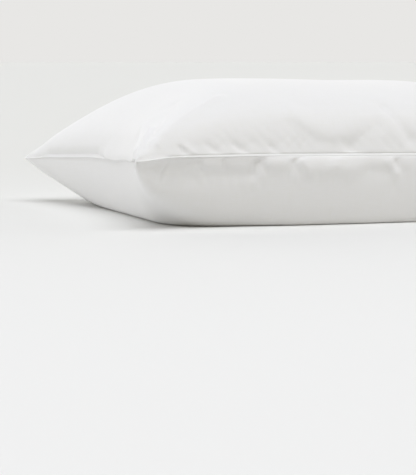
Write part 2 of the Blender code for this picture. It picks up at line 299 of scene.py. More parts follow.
FOLDS = (
    Fold("ridge along the near corner", TOP, 0.010, 0.026, 0.047, 0.142, 0.0060, 0.0110, 0.0030, 1.2),
    Fold("sharp ridge from the near corner", TOP, 0.008, 0.007, 0.043, 0.077, 0.0026, 0.0044, 0.0013, 2.2),
    Fold("crease after the sharp ridge", TOP, 0.018, 0.016, 0.044, 0.061, 0.0024, 0.0045, -0.0012, 1.6),
    Fold("valley between those ridges", TOP, 0.034, 0.034, 0.085, 0.145, 0.006, 0.013, -0.0016, 1.6, -0.004),
    Fold("long ridge from the near corner", TOP, 0.034, 0.016, 0.134, 0.088, 0.0045, 0.0085, 0.0018, 1.3),
    Fold("bulge over the end's seam", TOP, 0.003, 0.016, 0.004, 0.245, 0.013, 0.013, 0.0026, 1.3, 0.0, 0.9),
    Fold("hollow over the end's seam", TOP, 0.001, 0.430, 0.000, 0.290, 0.007, 0.007, -0.0036, 0.9),
    Fold("pinch over the front seam", TOP, 0.061, 0.009, 0.062, 0.003, 0.0032, 0.0036, -0.0016, 0.9),
    Fold("ridge beside the pinch", TOP, 0.067, 0.010, 0.073, 0.003, 0.0040, 0.0040, 0.0012, 0.8),
    Fold("front pucker", TOP, 0.094, 0.010, 0.100, 0.004, 0.0045, 0.0045, -0.0010, 0.8),
    Fold("front pucker, second", TOP, 0.126, 0.010, 0.134, 0.003, 0.0045, 0.0045, -0.0012, 0.8),
    Fold("front pucker, third", TOP, 0.168, 0.008, 0.170, 0.003, 0.0040, 0.0040, -0.0013, 0.8),
    Fold("swelling on the front", TOP, 0.208, 0.046, 0.290, 0.036, 0.016, 0.020, 0.0026, 0.6, -0.025),
    Fold("hollow under that swelling", TOP, 0.206, 0.030, 0.262, 0.008, 0.013, 0.012, -0.0016, 0.9, -0.006),
    Fold("hollow after that swelling", TOP, 0.262, 0.010, 0.302, 0.032, 0.010, 0.012, -0.0020, 0.9),
    Fold("valley down to the front seam", TOP, 0.326, 0.062, 0.339, 0.018, 0.0095, 0.0085, -0.0031, 0.8),
    Fold("ridge beside that valley", TOP, 0.314, 0.048, 0.326, 0.016, 0.010, 0.009, 0.0004, 0.8),
    Fold("soft ridge towards the mouth", TOP, 0.420, 0.030, 0.520, 0.085, 0.014, 0.020, 0.0042, 0.4),
    Fold("hollow towards the mouth", TOP, 0.470, 0.026, 0.560, 0.060, 0.015, 0.018, -0.0038, 0.4),
    Fold("cross hollow where the fill ends", TOP, 0.560, 0.170, 0.545, 0.330, 0.022, 0.022, -0.0040, 0.4),
    Fold("ridge where the fill ends", TOP, 0.600, 0.230, 0.500, 0.260, 0.018, 0.022, 0.0038, 0.4),
    Fold("far corner ridge", TOP, 0.060, 0.500, 0.150, 0.450, 0.012, 0.018, 0.0026, 0.4),
    Fold("far corner hollow", TOP, 0.022, 0.482, 0.060, 0.450, 0.016, 0.016, -0.0036, 0.4),
    Fold("dip of the crown", TOP, 0.330, 0.120, 0.350, 0.420, 0.050, 0.050, -0.0018, 0.4),
    Fold("back hollow", TOP, 0.200, 0.530, 0.230, 0.470, 0.012, 0.022, -0.0040, 0.4),
    Fold("back ridge", TOP, 0.310, 0.540, 0.330, 0.480, 0.012, 0.022, 0.0040, 0.4),
    Fold("back hollow towards the mouth", TOP, 0.440, 0.530, 0.500, 0.460, 0.014, 0.024, -0.0042, 0.4),
    Fold("turn of the end into the front", UNDER, 0.004, 0.003, 0.045, 0.041, 0.004, 0.012, 0.0030, 0.6),
    Fold("hollow under the near corner", UNDER, 0.016, 0.007, 0.046, 0.017, 0.007, 0.010, -0.0036, 0.8),
    Fold("long hollow under the front seam", UNDER, 0.068, 0.024, 0.140, 0.022, 0.013, 0.012, -0.0034, 0.4),
    Fold("hollow close under the seam", UNDER, 0.052, 0.012, 0.078, 0.013, 0.009, 0.008, -0.0020, 0.6),
    Fold("puffed band under the seam", UNDER, 0.090, 0.011, 0.150, 0.012, 0.0070, 0.0075, 0.0014, 0.7),
    Fold("under pucker", UNDER, 0.090, 0.007, 0.100, 0.016, 0.0034, 0.0036, -0.0026, 0.9),
    Fold("under pucker, second", UNDER, 0.115, 0.004, 0.123, 0.014, 0.0030, 0.0030, -0.0018, 0.9),
    Fold("under pucker, third", UNDER, 0.157, 0.010, 0.160, 0.022, 0.0045, 0.0050, -0.0028, 0.8),
    Fold("under pucker, fourth", UNDER, 0.162, 0.008, 0.173, 0.018, 0.0034, 0.0036, -0.0022, 0.9),
    Fold("puff after those puckers", UNDER, 0.174, 0.011, 0.190, 0.013, 0.008, 0.008, 0.0020, 0.8),
    Fold("deep under pucker", UNDER, 0.201, 0.009, 0.214, 0.021, 0.0040, 0.0050, -0.0024, 0.7),
    Fold("steep side of the puff after it", UNDER, 0.209, 0.009, 0.224, 0.021, 0.0045, 0.0055, 0.0030, 0.6),
    Fold("puff after the deep pucker", UNDER, 0.218, 0.015, 0.240, 0.018, 0.011, 0.011, 0.0016, 0.8),
    Fold("rounded puff", UNDER, 0.252, 0.015, 0.272, 0.020, 0.011, 0.011, 0.0027, 0.9),
    Fold("hollow under the seam", UNDER, 0.297, 0.019, 0.320, 0.022, 0.007, 0.007, -0.0018, 0.9),
    Fold("ridge beside that hollow", UNDER, 0.314, 0.009, 0.330, 0.023, 0.0040, 0.0046, 0.0020, 0.9),
    Fold("pucker beside that ridge", UNDER, 0.326, 0.009, 0.340, 0.021, 0.0042, 0.0045, -0.0018, 0.9),
    Fold("under ridge towards the mouth", UNDER, 0.430, 0.020, 0.500, 0.070, 0.012, 0.020, 0.0036, 0.4),
    Fold("hollow under the far corner", UNDER, 0.030, 0.440, 0.080, 0.400, 0.018, 0.020, -0.0010, 0.8),
    Fold("back hollow, under", UNDER, 0.260, 0.520, 0.280, 0.470, 0.012, 0.022, -0.0034, 0.4),
)

LAMPS = (
    Lamp("tall soft light, front", 0, 70, 60, 2.37, "#FBFCFF"),
    Lamp("low soft light, left", -90, 20, 60, 1.03, "#FCFDFF"),
    Lamp("low soft light, right", 90, 20, 60, 1.02, "#FFFFFF"),
    Lamp("low soft light, behind", 180, 20, 60, 1.32, "#FFFEFB"),
)


def length(name, description, default):
    """A size that a user may change."""
    return FloatProperty(name=name, description=description, default=default, unit="LENGTH", precision=4)


def colour(name, description, default):
    """A colour that a user may change, given in sRGB hex."""
    return FloatVectorProperty(
        name=name, description=description, default=from_hex(default), size=3, subtype="COLOR", min=0, max=1
    )


def from_hex(text):
    """An sRGB hex colour as linear red, green and blue."""
    parts = [int(text[i : i + 2], 16) / 255 for i in (1, 3, 5)]
    return [c / 12.92 if c <= 0.04045 else ((c + 0.055) / 1.055) ** 2.4 for c in parts]


class CaseSettings(PropertyGroup):
    """The sewn case as it lies."""

    case_reach: length("Case reach", "From the closed end's corners to the mouth", 0.712)
    fill_reach: length("Fill reach", "To the far end of the pillow inside", 0.612)
    corner_half_width: length("Corner half width", "Half the closed end, corner to corner", 0.240)
    waist_half_width: length("Waist half width", "Half the width at the drawn-in long seams", 0.231)
    mouth_half_width: length("Mouth half width", "Half the width of the flat mouth", 0.246)
    loft: length("Loft", "From the surface to the crown", 0.1616)
    seam_height: length("Seam height", "From the surface to the long seams", 0.0830)
    mouth_height: length("Mouth height", "From the surface to the drooping lips", 0.016)
    seam_ridge: length("Seam ridge", "How far the sewn edge stands proud", 0.0024)
    seam_half_thickness: length("Seam half thickness", "Half the sewn edge's thickness", 0.0008)
    seam_tuck: length("Seam tuck", "How far the cloth swells out over the closed end's seam", 0.0006)
    seam_flare: length("Seam flare", "How far the long seams stand out beside the closed end", 0.0045)
    seam_lip: length("Seam lip", "How far the top panel rolls out over the long seams", 0.0014)
    under_puff: length("Under puff", "How far the under panel swells out below the long seams", 0.0060)
    slit_half_gap: length("Half gap of the mouth", "Half the space between the two lips", 0.0008)
    hem_depth: length("Hem depth", "From the mouth to the hem's stitching", 0.076)
    stitch: length("Stitch length", "One stitch of the hem with its gap", 0.0030)


class CottonSettings(PropertyGroup):
    """Crisp white cotton."""

    white: colour("White", "The bleached cloth", "#E8E8E9")
    thin: colour("Thin places", "Where the yarn is thinner and less light comes back", "#E7E7E7")
    thread: colour("Thread", "The sewing thread", "#EDEDEA")
    weave: length("Weave", "Between two threads, drawn at about three times its real size", 0.0010)
    slub: length("Slub", "The width of a thicker or thinner place in the yarn", 0.0014)
    crumple: length("Crumple", "The size of the soft waves that folding leaves", 0.018)


class StudioSettings(PropertyGroup):
    """The pale studio."""

    floor: colour("Floor", "The floor round the case", "#E7E7E6")
    # The far floor's colour is painted shade: the floor is painted darker towards the back, to meet the
    # backdrop's tone.
    far_floor_shade: colour("Far floor", "The floor where it meets the backdrop", "#DEDEDB")
    backdrop: colour("Backdrop", "The even light behind", "#E8E7E5")
    front: colour("Front", "The dimmer light from the side of the room in front", "#D8CDA9")
    ceiling: colour("Ceiling", "The light from above, beside the lamps'", "#000000")
    floor_radius: length("Floor radius", "To the floor's edge, out of sight", 40.0)
    # Where the floor's painted shade begins, and where it reaches the far floor's tone.
    shade_start: length("Fade start", "Where the floor starts to darken, in front of the case", -1.2)
    shade_end: length("Fade end", "Where the floor has the backdrop's tone, behind the case", 1.2)
    lens: FloatProperty(
        name="Lens", description="Focal length on a 36 mm sensor", default=148.5, unit="CAMERA"
    )


# ---- the form of the filled case


def smooth_step(low, high, value):
    share = np.clip((value - low) / (high - low), 0.0, 1.0)
    return share * share * (3 - 2 * share)


def blend(first, second, share):
    return first + (second - first) * share


def superellipse(share, power):
    return np.maximum(0.0, 1 - np.abs(share) ** power) ** (1 / power)


def fullness_along(sizes, x, side=TOP):
    """The share of the full height at x: a round closed end and a gentle fall to the lips."""
    if side == TOP:
        reach, power = END_ROUND_LENGTH, END_POWER
    else:
        reach, power = UNDER_ROUND_LENGTH, UNDER_ROUND_POWER
    end = superellipse(np.maximum(0.0, 1 - x / reach), power)
    fall = np.clip((x - FALL_START) / (sizes.fill_reach - FALL_START), 0.0, 1.0)
    return end * (0.5 + 0.5 * np.cos(np.pi * fall))


def half_width(sizes, x):
    width = blend(sizes.corner_half_width, sizes.waist_half_width, smooth_step(0.0, WAIST_START, x))
    return blend(width, sizes.mouth_half_width, smooth_step(WAIST_END, sizes.fill_reach, x))


def seam_height(sizes, x, y):
    """The height of the surface that the seams lie in, between the two panels."""
    height = sizes.seam_height - SEAM_FALL * x / sizes.case_reach
    height = blend(height, sizes.mouth_height, smooth_step(DROOP_START, sizes.case_reach, x))
    for droop in DROOPS:
        away = ((x - droop.x) / droop.reach_x) ** 2 + ((y - droop.y) / droop.reach_y) ** 2
        height = height + droop.rise * np.exp(-away)
    return height


def plan(sizes, x, across, end_out=0.0, side_out=0.0):
    """Where a point is in plan, moved outwards at the closed end and at the long sides."""
    bow = 1 - across * across
    share = x / sizes.case_reach
    inward = END_DRAW_IN * bow * (1 - share) ** CURVE_FADE - MOUTH_DRAW_IN * bow * share**CURVE_FADE
    plan_x = x + inward - end_out * np.maximum(0.0, 1 - x / END_ROUND_LENGTH) ** END_FADE
    return plan_x, half_width(sizes, x) * across + side_out * across * np.abs(across) ** SIDE_FADE


def fullness(sizes, x, across, side):
    """The share of the full height all over one panel."""
    power = TOP_POWER
    if side == UNDER:
        filled = smooth_step(FAR_CORNER_START, FAR_CORNER_END, x)
        power = np.where(across > 0, blend(FAR_CORNER_POWER, UNDER_POWER, filled), UNDER_POWER)
    return fullness_along(sizes, x, side) * superellipse(across, power)


def swelling(rise, height):
    """How much of a swelling beside the seam has come out, at a rise above or below it."""
    return 1 - np.exp(-rise / height)


def fill_skin(sizes, x, across, side):
    """Points of one panel round the fill, with no folds and no floor."""
    full = fullness(sizes, x, across, side)
    depth = sizes.loft - sizes.seam_height if side == TOP else UNDER_DEPTH
    rise = depth * full
    flare_left = blend(1.0, FLARE_LEFT, smooth_step(FLARE_START, FLARE_END, x))
    flare = sizes.seam_flare * flare_left * swelling(rise, FLARE_HEIGHT)
    if side == TOP:
        lip = sizes.seam_lip * swelling(rise, LIP_HEIGHT)
    else:
        puff = sizes.under_puff * swelling(rise, PUFF_HEIGHT) * smooth_step(PUFF_START, PUFF_END, x)
        lip = puff + UNDER_LIP * swelling(rise, UNDER_LIP_HEIGHT) * smooth_step(HANG_START, HANG_END, x)
    tuck = sizes.seam_tuck * np.sin(np.pi * np.sqrt(full))
    plan_x, plan_y = plan(sizes, x, across, tuck, lip - flare)
    edge = np.minimum(x, half_width(sizes, x) * (1 - np.abs(across)))
    skin = blend(sizes.seam_half_thickness, LIP_HALF_THICKNESS, smooth_step(0.0, EDGE_BLEND, edge))
    hem_line = sizes.case_reach - sizes.hem_depth
    hem = smooth_step(hem_line - HEM_STEP_LENGTH / 2, hem_line + HEM_STEP_LENGTH / 2, x)
    skin = skin + HEM_STEP * hem * (edge > TINY)
    height = seam_height(sizes, x, half_width(sizes, x) * across) + side * (skin + rise)
    return np.stack(np.broadcast_arrays(plan_x, plan_y, height), axis=-1)


def rest_on_floor(points):
    """The under panel's own sag, turned smoothly on to the floor."""
    height = points[..., 2]
    near = np.maximum(FLOOR_BLEND - np.abs(height), 0.0) / FLOOR_BLEND
    points[..., 2] = np.maximum(height, 0.0) + near * near * FLOOR_BLEND / 4
    return points


# ---- where the cloth's points go


def graded(table, total):
    """Places from 0 to total whose spacing follows the table."""
    starts, steps = zip(*table)
    places = [0.0]
    while places[-1] < total:
        places.append(places[-1] + float(np.interp(places[-1], starts, steps)))
    return np.array(places) * total / places[-1]


def lengths_along(x, height):
    """A curve's length up to each of its samples."""
    return np.concatenate([[0.0], np.cumsum(np.hypot(np.diff(x), np.diff(height)))])


class Weave:
    """The columns and rows of the cloth's points on one case."""

    def __init__(self, sizes, column_steps, row_steps):
        loft = sizes.loft - sizes.seam_height
        samples = np.linspace(0.0, sizes.case_reach, CURVE_SAMPLES)
        lengths = lengths_along(samples, loft * fullness_along(sizes, samples))
        self.x = np.interp(graded(column_steps, lengths[-1]), lengths, samples)
        hem_line = sizes.case_reach - sizes.hem_depth
        after = int(np.searchsorted(self.x, hem_line))
        self.x[after - 1] = hem_line - HEM_STEP_LENGTH / 2
        self.x[after] = hem_line + HEM_STEP_LENGTH / 2
        samples = np.sin(np.linspace(-np.pi / 2, np.pi / 2, CURVE_SAMPLES))
        section = superellipse(samples, (TOP_POWER + UNDER_POWER) / 2)
        lengths = lengths_along(sizes.waist_half_width * samples, loft * section)
        girths = graded(row_steps, lengths[-1])
        self.rows = girths / lengths[-1]
        self.front_margin = int(np.searchsorted(girths, SLIT_MARGIN))
        self.back_margin = int(np.searchsorted(lengths[-1] - girths[::-1], SLIT_MARGIN))
        full = np.interp(girths, lengths, samples)
        even = 2 * self.rows - 1
        early = 1.0 - smooth_step(0.0, EVEN_END, self.x)
        late = smooth_step(EVEN_START, sizes.fill_reach, self.x)
        self.across = blend(full[None, :], even[None, :], np.maximum(early, late)[:, None])
        self.column = self.x[:, None] * np.ones_like(self.across)


def cloth_lengths(points):
    """How far each point is along the cloth: its run and its girth."""
    runs = np.zeros(points.shape[:2])
    girths = np.zeros(points.shape[:2])
    runs[1:] = np.cumsum(np.linalg.norm(np.diff(points, axis=0), axis=-1), axis=0)
    girths[:, 1:] = np.cumsum(np.linalg.norm(np.diff(points, axis=1), axis=-1), axis=1)
    return runs, girths


def outward(points, side):
    """The cloth's outward direction at each point."""
    along = np.gradient(points, axis=0)
    across = np.gradient(points, axis=1)
    normal = np.cross(along, across) * side
    return normal / np.maximum(np.linalg.norm(normal, axis=-1, keepdims=True), TINY)


def fold_heights(side, runs, girths):
    """How far the folds raise one panel's cloth, and how far they let it hang down."""
    heights = np.zeros_like(runs)
    sags = np.zeros_like(runs)
    for fold in FOLDS:
        if fold.side != side:
            continue
        along = np.array([fold.to_run - fold.run, fold.to_girth - fold.girth])
        aside = np.array([-along[1], along[0]]) / np.linalg.norm(along)
        steps = BOWED_STEPS if fold.bow else 1
        shares = np.linspace(0.0, 1.0, steps + 1)[:, None]
        path = (fold.run, fold.girth) + shares * along + 4 * fold.bow * shares * (1 - shares) * aside
        away = np.full_like(runs, np.inf)
        share = np.zeros_like(runs)
        for number, (start, end) in enumerate(zip(path, path[1:])):
            piece = end - start
            reach = ((runs - start[0]) * piece[0] + (girths - start[1]) * piece[1]) / (piece @ piece)
            reach = np.clip(reach, 0.0, 1.0)
            distance = np.hypot(runs - start[0] - reach * piece[0], girths - start[1] - reach * piece[1])
            share = np.where(distance < away, (number + reach) / steps, share)
            away = np.minimum(away, distance)
        crest = np.exp(-((away / blend(fold.width, fold.to_width, share)) ** FOLD_POINT))
        height = fold.height * blend(1.0, fold.left, share) * crest
        heights += height
        sags += fold.sag * height
    return heights, sags


def folded_skin(sizes, weave, side):
    """Points of one panel with its folds."""
    points = fill_skin(sizes, weave.column, weave.across, side)
    heights, sags = fold_heights(side, *cloth_lengths(points))
    hold = smooth_step(0.0, FOLD_HOLD, fullness(sizes, weave.column, weave.across, side))
    points = points + outward(points, side) * (hold * heights)[..., None]
    points[..., 2] -= hold * sags
    return points


# ---- the sewn mesh


class Sack:
    """Points and faces of the case, gathered grid by grid."""

    def __init__(self):
        self.points = []
        self.cloth = []
        self.faces = []

    def add_grid(self, points, cloth):
        """Adds a grid's points and faces, and returns their numbers."""
        numbers = np.arange(points[..., 0].size).reshape(points.shape[:2]) + len(self.points)
        self.points.extend(points.reshape(-1, 3).tolist())
        self.cloth.extend(np.stack(cloth, axis=-1).reshape(-1, 2).tolist())
        corners = (numbers[:-1, :-1], numbers[1:, :-1], numbers[1:, 1:], numbers[:-1, 1:])
        self.faces.extend(np.stack(corners, axis=-1).reshape(-1, 4).tolist())
        return numbers

    def add_row(self, points, cloth):
        numbers = np.arange(len(points)) + len(self.points)
        self.points.extend(np.asarray(points).tolist())
        self.cloth.extend(np.asarray(cloth).tolist())
        return numbers

    def sew(self, first, second):
        corners = (first[:-1], first[1:], second[1:], second[:-1])
        self.faces.extend(np.stack(corners, axis=-1).tolist())

    def mesh(self, name):
        mesh = bpy.data.meshes.new(name)
        mesh.from_pydata(self.points, [], self.faces)
        mesh.update()
        return mesh


def sewn_edge(grid):
    """A panel's edge from the mouth's front corner, round the closed end, to the back corner."""
    return np.concatenate([grid[::-1, 0], grid[0, 1:-1], grid[:, -1]])


def deselect_all():
    for obj in bpy.context.selected_objects:
        obj.select_set(False)
    bpy.context.view_layer.objects.active = None


def new_object(name, mesh):
    obj = bpy.data.objects.new(name, mesh)
    bpy.context.scene.collection.objects.link(obj)
    deselect_all()
    obj.select_set(True)
    bpy.context.view_layer.objects.active = obj
    return obj


def face_outwards():
    """Turns all faces of the active mesh outwards."""
    bpy.ops.object.mode_set(mode="EDIT")
    bpy.ops.mesh.select_all(action="SELECT")
    bpy.ops.mesh.normals_make_consistent(inside=False)
    bpy.ops.object.mode_set(mode="OBJECT")


def offset_to_frame(sizes, weave):
    """From the sewing frame, with x = 0 at the closed end's corners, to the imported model's."""
    low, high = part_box(NODE)
    edge = ridge_line(sizes, weave)[0]
    x = (edge[:, 0].min() + edge[:, 0].max()) / 2
    y = (edge[:, 1].min() + edge[:, 1].max()) / 2
    return np.array([(low[0] + high[0]) / 2 - x, (low[1] + high[1]) / 2 - y, low[2]])


def ridge_line(sizes, weave, share=1.0):
    """The seam in plan, pushed out by a share of the ridge, and the ridge's height there."""
    x = sewn_edge(weave.column)
    across = sewn_edge(weave.across)
    flat = np.stack(plan(sizes, x, across), axis=-1)
    along = np.concatenate([flat[1:2] - flat[:1], flat[2:] - flat[:-2], flat[-1:] - flat[-2:-1]])
    out = np.stack([-along[:, 1], along[:, 0]], axis=-1)
    out /= np.linalg.norm(out, axis=-1, keepdims=True)
    away = (flat[:, 1] - COVERED_MIDDLE) / COVERED_REACH
    covered = np.exp(-(away**COVERED_POWER)) * (x < TINY)
    pressed = blend(PRESSED_SHARE, 1.0, smooth_step(0.0, PRESSED_END, x))
    out *= (sizes.seam_ridge * share * (1 - COVERED_SHARE * covered) * pressed)[:, None]
    height = seam_height(sizes, x, half_width(sizes, x) * across)
    drooping = smooth_step(DROOP_START, sizes.fill_reach, x)
    hang = RIDGE_HANG * smooth_step(HANG_START, HANG_END, x) * (1 - drooping)
    return flat + out, height - hang * share


def sew_ridge(sizes, weave, sack, grids, cloths):
    """The sewn edge, from the top panel's edge out and back to the under panel's."""
    rows = [sewn_edge(grids[0])]
    thin = blend(PRESSED_THICKNESS, 1.0, smooth_step(0.0, PRESSED_END, sewn_edge(weave.column)))
    for side, profile, cloth in zip((TOP, UNDER), (RIDGE_PROFILE, RIDGE_PROFILE[::-1]), cloths):
        edge_cloth = np.stack([sewn_edge(lengths) for lengths in cloth], axis=-1)
        for out, thickness in profile:
            edge, middle = ridge_line(sizes, weave, out)
            height = middle + side * thickness * thin * sizes.seam_half_thickness
            rows.append(sack.add_row(np.column_stack([edge, height]), edge_cloth))
    rows.append(sewn_edge(grids[1]))
    for before, after in zip(rows, rows[1:]):
        sack.sew(before, after)
    for end in (0, -1):
        sack.faces.append([row[end] for row in rows])


def sew_lips(sizes, weave, sack, grids, cloth):
    """The inner sides of the mouth's two lips, with the slit between them closed at the fill."""
    top_end, under_end = grids[0][-1], grids[1][-1]
    first = int(np.searchsorted(weave.x, sizes.fill_reach + SLIT_START))
    inner = slice(weave.front_margin, -weave.back_margin)
    x, across = weave.column[first:, inner], weave.across[first:, inner]
    lips = []
    for side in (TOP, UNDER):
        height = seam_height(sizes, x, half_width(sizes, x) * across) + side * sizes.slit_half_gap
        points = np.stack([*plan(sizes, x, across), height], axis=-1)
        lips.append(sack.add_grid(points, [lengths[first:, inner] for lengths in cloth]))
    upper, lower = lips
    sack.sew(top_end[inner], upper[-1])
    sack.sew(under_end[inner], lower[-1])
    sack.sew(upper[0], lower[0])
    sack.sew(upper[:, 0], lower[:, 0])
    sack.sew(upper[:, -1], lower[:, -1])
    front = slice(None, weave.front_margin + 1)
    back = slice(-weave.back_margin - 1, None)
    sack.faces.append([*top_end[front], upper[-1, 0], lower[-1, 0], *under_end[front][::-1]])
    sack.faces.append([*top_end[back][::-1], upper[-1, -1], lower[-1, -1], *under_end[back]])


def sew_case(sizes, weave, panels):
    """The closed mesh: both panels, the ridge between them, and the two lips of the mouth."""
    sack = Sack()
    cloths = [cloth_lengths(points) for points in panels]
    grids = [sack.add_grid(points, cloth) for points, cloth in zip(panels, cloths)]
    sew_ridge(sizes, weave, sack, grids, cloths)
    sew_lips(sizes, weave, sack, grids, cloths[0])
    return sack


# ---- the drape: the cloth is cut a little larger than the fill, so it buckles beside its seams


def resample(values, old, new):
    """Smooth values at new places along the first axis."""
    k = np.clip(np.searchsorted(old, new) - 1, 0, len(old) - 2)
    shape = (-1,) + (1,) * (values.ndim - 1)
    step = (old[k + 1] - old[k]).reshape(shape)
    t = ((new - old[k]) / (old[k + 1] - old[k])).reshape(shape)
    slope = np.gradient(values, old, axis=0)
    start = (1 + 2 * t) * (1 - t) ** 2 * values[k] + t * (1 - t) ** 2 * step * slope[k]
    return start + t * t * (3 - 2 * t) * values[k + 1] + t * t * (t - 1) * step * slope[k + 1]


def hold_weights(sizes, weave, points, side):
    """How tightly the cloth is held to the fill at each point, loosest beside the long seams."""
    runs, girths = cloth_lengths(points)
    from_seam = np.minimum(girths, girths[:, -1:] - girths)
    loose = (1 - smooth_step(0.0, DRAPE_REACH, from_seam)) * smooth_step(DRAPE_START, DRAPE_FULL, runs)
    weights = blend(DRAPE_HELD, DRAPE_LOOSE_TOP if side == TOP else DRAPE_LOOSE_UNDER, loose)
    lips = smooth_step(sizes.fill_reach - DRAPE_LIPS, sizes.fill_reach, weave.column)
    weights = np.maximum(weights, lips)
    if side == UNDER:
        weights = np.maximum(weights, points[..., 2] < FLOOR_TOUCH)
    weights[:, 0] = weights[:, -1] = weights[0] = 1.0
    return weights


def simulate_cloth(obj):
    """Lets the held cloth settle under the fill's pressure, and applies the result."""
    cloth = obj.modifiers.new("drape", "CLOTH")
    for name, value in DRAPE_CLOTH.items():
        setattr(cloth.settings, name, value)
    cloth.settings.effector_weights.gravity = 0
    cloth.collision_settings.use_collision = False
    cloth.point_cache.frame_start = 1
    cloth.point_cache.frame_end = DRAPE_FRAMES
    scene = bpy.context.scene
    for step in range(1, DRAPE_FRAMES + 1):
        scene.frame_set(step)
    bpy.ops.object.modifier_apply(modifier=cloth.name)
    scene.frame_set(1)


def drape_moves(sizes):
    """How far the cloth moves on each panel of a coarse case, and that case's columns and rows."""
    weave = Weave(sizes, ((0.0, DRAPE_STEP),), ((0.0, DRAPE_STEP),))
    panels = [folded_skin(sizes, weave, side) for side in (TOP, UNDER)]
    panels[1] = rest_on_floor(panels[1])
    sack = Sack()
    grids = [sack.add_grid(points, cloth_lengths(points)) for points in panels]
    sack.sew(sewn_edge(grids[0]), sewn_edge(grids[1]))
    sack.sew(grids[0][-1], grids[1][-1])
    obj = new_object("drape", sack.mesh("drape"))
    face_outwards()
    hold = obj.vertex_groups.new(name="hold")
    for grid, points, side in zip(grids, panels, (TOP, UNDER)):
        weights = hold_weights(sizes, weave, points, side)
        for number, share in zip(grid.ravel().tolist(), weights.ravel().tolist()):
            hold.add([number], share, "REPLACE")
    simulate_cloth(obj)
    mesh = obj.data
    moved = np.empty(len(mesh.vertices) * 3)
    mesh.vertices.foreach_get("co", moved)
    moved = moved.reshape(-1, 3)
    bpy.data.objects.remove(obj)
    bpy.data.meshes.remove(mesh)
    moves = []
    for grid, points in zip(grids, panels):
        move = moved[grid] - points
        size = np.linalg.norm(move, axis=-1, keepdims=True)
        moves.append(move * np.minimum(1.0, DRAPE_CAP / np.maximum(size, TINY)))
    return weave, moves


def draped(weave, points, coarse, move):
    """A panel's points, moved as the same places of the coarse case moved."""
    move = resample(move, coarse.x, weave.x)
    move = resample(move.transpose(1, 0, 2), coarse.rows, weave.rows).transpose(1, 0, 2)
    return points + move


def finished_panels(sizes, weave):
    """Both panels folded, draped and laid on the floor."""
    panels = [folded_skin(sizes, weave, side) for side in (TOP, UNDER)]
    coarse, moves = drape_moves(sizes)
    panels = [draped(weave, points, coarse, move) for points, move in zip(panels, moves)]
    return panels[0], rest_on_floor(panels[1])


# ---- materials


def add_node(tree, kind, settings=(), **links):
    """A node with its settings, its set inputs and its links from other nodes' outputs.

    An input is named with _ for each space, or numbered, as in i0.
    """
    node = tree.nodes.new(kind)
    for name, value in dict(settings).items():
        setattr(node, name, value)
    for name, value in links.items():
        number = name[1:]
        socket = node.inputs[int(number) if number.isdigit() else name.replace("_", " ")]
        if isinstance(value, bpy.types.NodeSocket):
            tree.links.new(value, socket)
        else:
            socket.default_value = value
    return node


def new_material(name, finish):
    """A material, and its shader with the finish set."""
    material = bpy.data.materials.new(name)
    material.use_nodes = True
    shader = material.node_tree.nodes["Principled BSDF"]
    for socket, value in finish.items():
        shader.inputs[socket].default_value = value
    return material, shader


def socket_of(node, name):
    """The enabled input of that name: a mix node has one for each kind of value."""
    return next(socket for socket in node.inputs if socket.name == name and socket.enabled)


def colour_out(node):
    """The enabled result of a mix node."""
    return next(socket for socket in node.outputs if socket.name == "Result" and socket.enabled)


def cotton_material(look):
    """Bleached cotton, plain woven and pressed: matt, with a faint sheen where it turns away.

    The real threads lie 0.35 mm apart. They are drawn at about three times that, so that a close view
    shows them as single threads. Thicker and thinner yarn shows as faint streaks both ways of the cloth.
    """
    material, shader = new_material("pressed plain-woven cotton", COTTON_FINISH)
    tree = material.node_tree
    cloth = add_node(tree, "ShaderNodeUVMap", {"uv_map": "cloth"}).outputs[0]
    scale = {"operation": "SCALE"}
    waves = add_node(tree, "ShaderNodeVectorMath", scale, i0=cloth, Scale=math.pi / look.weave)
    waves = add_node(tree, "ShaderNodeVectorMath", {"operation": "SINE"}, i0=waves.outputs[0])
    split = add_node(tree, "ShaderNodeSeparateXYZ", Vector=waves.outputs[0])
    weave = add_node(tree, "ShaderNodeMath", MULTIPLY, i0=split.outputs["X"], i1=split.outputs["Y"])
    slubs = []
    for stretch in ((1 / SLUB_LENGTH, 1.0, 1.0), (1.0, 1 / SLUB_LENGTH, 1.0)):
        turned = add_node(tree, "ShaderNodeVectorMath", MULTIPLY, i0=cloth, i1=stretch).outputs[0]
        noise = add_node(tree, "ShaderNodeTexNoise", Vector=turned, Scale=1 / look.slub, Detail=SLUB_DETAIL)
        slubs.append(noise.outputs[0])
    slub = add_node(tree, "ShaderNodeMath", {"operation": "ADD"}, i0=slubs[0], i1=slubs[1]).outputs[0]
    coords = add_node(tree, "ShaderNodeTexCoord").outputs["Object"]
    crumple = add_node(
        tree,
        "ShaderNodeTexNoise",
        Vector=coords,
        Scale=1 / look.crumple,
        Detail=CRUMPLE_DETAIL,
        Roughness=CRUMPLE_ROUGHNESS,
    )
    relief = ((crumple.outputs[0], CRUMPLE_DEPTH), (slub, SLUB_DEPTH), (weave.outputs[0], WEAVE_DEPTH))
    normal = None
    for height, depth in relief:
        bump = add_node(tree, "ShaderNodeBump", Distance=depth, Height=height)
        if normal:
            tree.links.new(normal, bump.inputs["Normal"])
        normal = bump.outputs["Normal"]
    tree.links.new(normal, shader.inputs["Normal"])
    share = add_node(tree, "ShaderNodeMapRange", Value=slub, From_Min=SLUB_THIN, From_Max=SLUB_THICK)
    tone = add_node(tree, "ShaderNodeMix", COLOURS, Factor=share.outputs["Result"])
    socket_of(tone, "A").default_value = (*look.thin, 1.0)
    socket_of(tone, "B").default_value = (*look.white, 1.0)
    tree.links.new(colour_out(tone), shader.inputs["Base Color"])
    return material


